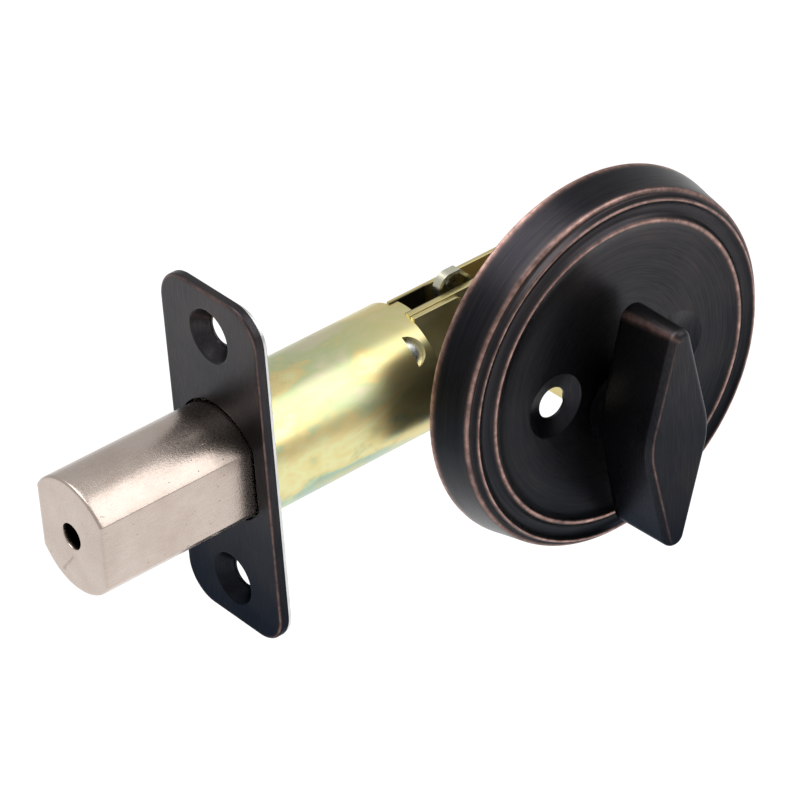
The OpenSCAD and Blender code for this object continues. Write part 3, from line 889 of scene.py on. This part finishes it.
def make_neck():
    profile = [(0, -10.5), (NECK_R, -10.5), (NECK_R, -8.4), (NECK_R + 0.15, -7.2)]
    profile += [(NECK_R, -6.95), (0, -6.95)]
    return lathe("neck_part", profile, on_turn_axis, 96)


def make_spindle():
    """Spindle with the clip's groove and a slot for the blade."""
    groove_r, groove_front, groove_back = SPINDLE_R - 0.6, -2.98, -2.22
    profile = [(0, -8.0), (SPINDLE_R, -8.0), (SPINDLE_R, groove_front), (groove_r, groove_front)]
    profile += [(groove_r, groove_back), (SPINDLE_R, groove_back), (SPINDLE_R, 0.0)]
    profile += [(SPINDLE_R - 0.2, 0.2), (0, 0.2)]
    spindle = lathe("spindle_part", profile, on_turn_axis, 96)
    blade_slot = box_outline(-3.72, -1.12, 3.72, 1.12)
    cut(spindle, [plate("blade_cutter", [(blade_slot, straight(-4.7, 2.0), False)], on_turn_axis)])
    return spindle


def make_thumb_turn():
    lean = math.radians(GRIP_LEAN)
    cos_lean, sin_lean = math.cos(lean), math.sin(lean)

    def leaning(across, up, depth):
        x, z = across * cos_lean + up * sin_lean, up * cos_lean - across * sin_lean
        return (x, GRIP_Y + depth, z - TURN_DROP)

    grip = plate("thumb_turn_skin", [(grip_points, grip_steps(), False)], leaning)
    neck, spindle = make_neck(), make_spindle()
    wear_grip(grip, cos_lean, sin_lean)
    obj = join([grip, neck, spindle])
    paint(replace(obj, "thumb_turn", "oiled_bronze", "thumb_turn"), bronze_brushed)


make_faceplate()
make_backing_plate()
make_bolt()
make_barrel()
make_long_plate("near_plate")
make_long_plate("far_plate")
make_slide_plate()
make_rosette()
make_thumb_turn()
for node, material in CAD_FINISH.items():
    paint(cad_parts[node], material)


# ---------------------------------------------------------------- stage, light and camera (metres)
def make_floor(height):
    bpy.ops.mesh.primitive_plane_add(size=6.0, location=(0, 0, height))
    floor = bpy.context.object
    floor.name = "floor"
    look = Finish("pale_floor", Roughness=0.9)
    cloud = look.noise(look.place, 0.01, 2.0, 0.5)
    look.set("Base Color", look.ramp(cloud, (0.3, (0.93, 0.93, 0.93)), (0.7, (0.95, 0.95, 0.95))))
    floor.data.materials.append(look.material)


def area_light(name, place, size, power):
    """A rectangular light that faces the origin."""
    data = bpy.data.lights.new(name, "AREA")
    data.shape = "RECTANGLE"
    data.size, data.size_y = size
    data.energy = power
    obj = bpy.data.objects.new(name, data)
    obj.location = place
    obj.rotation_euler = (-Vector(place)).to_track_quat("-Z", "Y").to_euler()
    bpy.context.collection.objects.link(obj)


def white_world(strength):
    world = bpy.data.worlds.new("studio")
    world.use_nodes = True
    background = world.node_tree.nodes["Background"]
    background.inputs["Color"].default_value = (1, 1, 1, 1)
    background.inputs["Strength"].default_value = strength
    bpy.context.scene.world = world


def make_camera():
    right = (0.76588, -0.64031, -0.05888)
    up = (0.39797, 0.39996, 0.82555)
    back = (-0.50502, -0.65571, 0.56117)
    turned = Matrix((right, up, back)).transposed().to_4x4()
    data = bpy.data.cameras.new("camera")
    data.sensor_width = 36.0
    data.lens = 194.41
    data.clip_start = 0.01
    camera = bpy.data.objects.new("camera", data)
    camera.matrix_world = Matrix.Translation((-0.34453, -0.40223, 0.35234)) @ turned
    bpy.context.collection.objects.link(camera)
    bpy.context.scene.camera = camera


make_floor(height=-0.25)
area_light("key", (0.757, -0.76, 1.045), (1.3, 1.5), 10.4)
area_light("top", (-0.3, 0.4, 1.6), (1.2, 1.2), 16)
white_world(0.62)
make_camera()
bpy.context.scene.view_settings.view_transform = "Standard"
